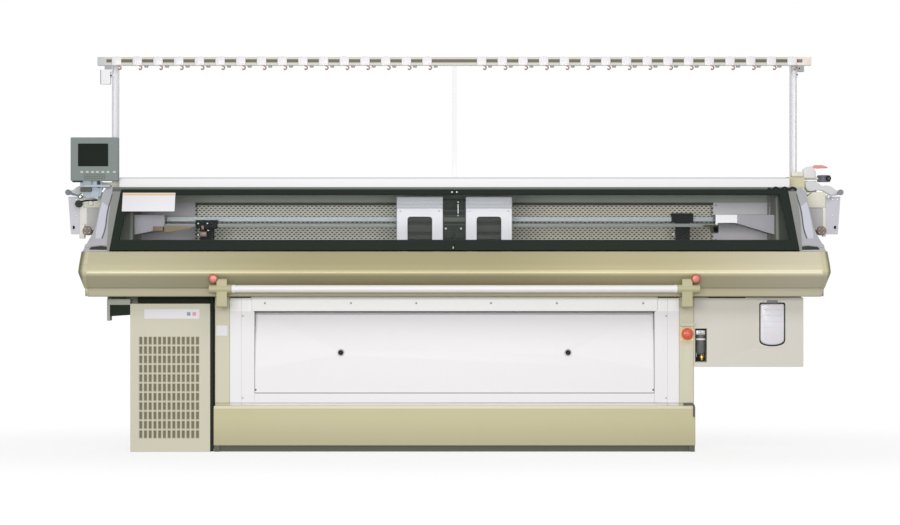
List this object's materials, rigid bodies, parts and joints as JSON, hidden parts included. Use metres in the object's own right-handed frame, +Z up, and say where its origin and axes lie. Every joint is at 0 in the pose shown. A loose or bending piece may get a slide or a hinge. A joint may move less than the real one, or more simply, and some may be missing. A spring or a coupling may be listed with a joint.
{
  "type": "flat knitting machine",
  "caption": "Long V-bed flat knitting machine on two legs, with bridge carriage, yarn carriers, hinged windows, yarn shelf with guide rail, monitor and cabinets.",
  "frame": {"origin": "on the floor, under the centre of the bounding box", "axes": "+X along the needle beds, to the right seen from the front; the front faces -Y; +Z up"},
  "size_m": [4, 1.0238, 2.025],
  "materials": {
    "cream_paint": "satin, slightly yellowed",
    "pale_cream_paint": "satin",
    "white_paint": "satin",
    "grey_paint": "satin",
    "dark_paint": "satin",
    "black_paint": "matt",
    "bridge_paint": "satin",
    "inner_paint": "matt",
    "bright_steel": "brushed",
    "bed_steel": "ground",
    "cast_frame": "painted castings",
    "window_glass": "clear",
    "red_plastic": "glossy",
    "yellow_paint": "satin",
    "grey_plastic": "matt",
    "dark_plastic": "matt",
    "milky_plastic": "milky, slightly translucent",
    "belt_rubber": "matt",
    "aluminium": "anodised"
  },
  "bodies": {
    "machine": {"back_panel": "inner_paint", "bar_brackets": "cream_paint", "base_frame": "cream_paint", "beam_end_caps": "cream_paint", "bed_beams": "cast_frame", "belt_brackets": "grey_paint", "bent_rod": "grey_paint", "cable_duct": "cream_paint", "carriage_rails": "bright_steel", "chute_panel": "white_paint", "chute_surround": "white_paint", "control_cabinet": "pale_cream_paint", "drive_belt": "belt_rubber", "drive_motor": "dark_plastic", "end_frames": "cast_frame", "estop_plate": "yellow_paint", "front_beam_cover": "cream_paint", "guide_rail": "aluminium", "monitor_arm": "grey_paint", "needle_beds": "bed_steel", "oil_cabinet": "pale_cream_paint", "oil_pump": "bright_steel", "oil_tank": "milky_plastic", "plinth": "black_paint", "rail_posts": "white_paint", "rear_cover": "white_paint", "side_covers": "white_paint", "side_legs": "pale_cream_paint", "side_yarn_units": "white_paint", "takedown_motor": "dark_plastic", "window_header": "dark_paint", "yarn_guides": "grey_paint", "yarn_rails": "bright_steel", "yarn_shelf": "white_paint"},
    "carriage": {"left_bridge_cover": "bridge_paint", "right_bridge_cover": "bridge_paint", "carriage_centre_unit": "dark_plastic", "cam_boxes": "inner_paint", "belt_clamp": "inner_paint"},
    "drive_pulley": {"drive_pulley": "bright_steel"},
    "idler_pulley": {"idler_pulley": "bright_steel"},
    "left_carrier": {"left_yarn_carrier": "bright_steel"},
    "right_carrier": {"right_yarn_carrier": "bright_steel"},
    "takedown_roller": {"takedown_roller": "bright_steel"},
    "pressure_roller": {"pressure_roller": "belt_rubber"},
    "cabinet_fan": {"cabinet_fan": "dark_plastic"},
    "left_window": {"left_window_frame": "dark_paint", "left_window_glass": "window_glass"},
    "right_window": {"right_window_frame": "dark_paint", "right_window_glass": "window_glass"},
    "operating_bar": {"operating_bar": "white_paint"},
    "left_stop_button": {"left_stop_button": "red_plastic"},
    "right_stop_button": {"right_stop_button": "red_plastic"},
    "estop_button": {"estop_button": "red_plastic"},
    "monitor": {"monitor": "grey_plastic"},
    "left_panel_knob": {"left_panel_knob": "dark_plastic"},
    "right_panel_knob": {"right_panel_knob": "dark_plastic"},
    "oil_tank_cap": {"oil_tank_cap": "milky_plastic"},
    "left_tension_arm": {"left_tension_arm": "dark_plastic"},
    "right_tension_arm": {"right_tension_arm": "dark_plastic"}
  },
  "joints": [
    {"name": "carriage_slide", "type": "slide", "parent": "machine", "child": "carriage", "axis": [1, 0, 0], "range_m": [-1.25, 1.25]},
    {"name": "drive_pulley_spin", "type": "hinge", "parent": "machine", "child": "drive_pulley", "pos_m": [1.6, 0.315, 0.826], "axis": [0, 0, 1], "range_deg": [-1720, 1720]},
    {"name": "idler_pulley_spin", "type": "hinge", "parent": "machine", "child": "idler_pulley", "pos_m": [-1.6, 0.315, 0.826], "axis": [0, 0, 1], "range_deg": [-1720, 1720]},
    {"name": "left_carrier_slide", "type": "slide", "parent": "machine", "child": "left_carrier", "axis": [1, 0, 0], "range_m": [-0.15, 2.55]},
    {"name": "right_carrier_slide", "type": "slide", "parent": "machine", "child": "right_carrier", "axis": [1, 0, 0], "range_m": [-2.6, 0.1]},
    {"name": "takedown_roller_spin", "type": "hinge", "parent": "machine", "child": "takedown_roller", "pos_m": [0, 0.0303, 0.648], "axis": [1, 0, 0], "continuous": true},
    {"name": "pressure_roller_spin", "type": "hinge", "parent": "machine", "child": "pressure_roller", "pos_m": [0, -0.0203, 0.648], "axis": [1, 0, 0], "continuous": true},
    {"name": "cabinet_fan_spin", "type": "hinge", "parent": "machine", "child": "cabinet_fan", "pos_m": [-1.438, -0.285, 0.33], "axis": [0, 1, 0], "continuous": true},
    {"name": "left_window_lift", "type": "hinge", "parent": "machine", "child": "left_window", "pos_m": [-0.85, -0.222, 1.323], "axis": [-1, 0, 0], "range_deg": [0, 70]},
    {"name": "right_window_lift", "type": "hinge", "parent": "machine", "child": "right_window", "pos_m": [0.85, -0.222, 1.323], "axis": [-1, 0, 0], "range_deg": [0, 70]},
    {"name": "operating_bar_turn", "type": "hinge", "parent": "machine", "child": "operating_bar", "pos_m": [0, -0.484, 0.827], "axis": [1, 0, 0], "range_deg": [-15, 15], "stiffness_Nm_per_rad": 4},
    {"name": "left_stop_press", "type": "slide", "parent": "machine", "child": "left_stop_button", "axis": [0, 1, 0], "range_m": [0, 0.0045], "stiffness_N_per_m": 600},
    {"name": "right_stop_press", "type": "slide", "parent": "machine", "child": "right_stop_button", "axis": [0, 1, 0], "range_m": [0, 0.0045], "stiffness_N_per_m": 600},
    {"name": "estop_press", "type": "slide", "parent": "machine", "child": "estop_button", "axis": [0, 1, 0], "range_m": [0, 0.005]},
    {"name": "monitor_swivel", "type": "hinge", "parent": "machine", "child": "monitor", "pos_m": [-1.836, -0.205, 1.375], "axis": [0, 0, 1], "range_deg": [-40, 40]},
    {"name": "left_panel_knob_turn", "type": "hinge", "parent": "machine", "child": "left_panel_knob", "pos_m": [-0.575, -0.33, 0.503], "axis": [0, 1, 0], "range_deg": [0, 90]},
    {"name": "right_panel_knob_turn", "type": "hinge", "parent": "machine", "child": "right_panel_knob", "pos_m": [0.575, -0.33, 0.503], "axis": [0, 1, 0], "range_deg": [0, 90]},
    {"name": "oil_tank_cap_turn", "type": "hinge", "parent": "machine", "child": "oil_tank_cap", "pos_m": [1.6075, -0.303, 0.75], "axis": [0, 0, 1], "range_deg": [0, 90]},
    {"name": "left_tension_arm_swing", "type": "hinge", "parent": "machine", "child": "left_tension_arm", "pos_m": [-1.922, -0.131, 1.297], "axis": [0, 1, 0], "range_deg": [-10, 25], "stiffness_Nm_per_rad": 0.6},
    {"name": "right_tension_arm_swing", "type": "hinge", "parent": "machine", "child": "right_tension_arm", "pos_m": [1.922, -0.131, 1.297], "axis": [0, 1, 0], "range_deg": [-25, 10], "stiffness_Nm_per_rad": 0.6}
  ],
  "couplings": [
    {"joint": "drive_pulley_spin", "follows": "carriage_slide", "rad_per_m": 23.92},
    {"joint": "idler_pulley_spin", "follows": "carriage_slide", "rad_per_m": 23.92},
    {"joint": "pressure_roller_spin", "follows": "takedown_roller_spin", "ratio": -1.5}
  ]
}
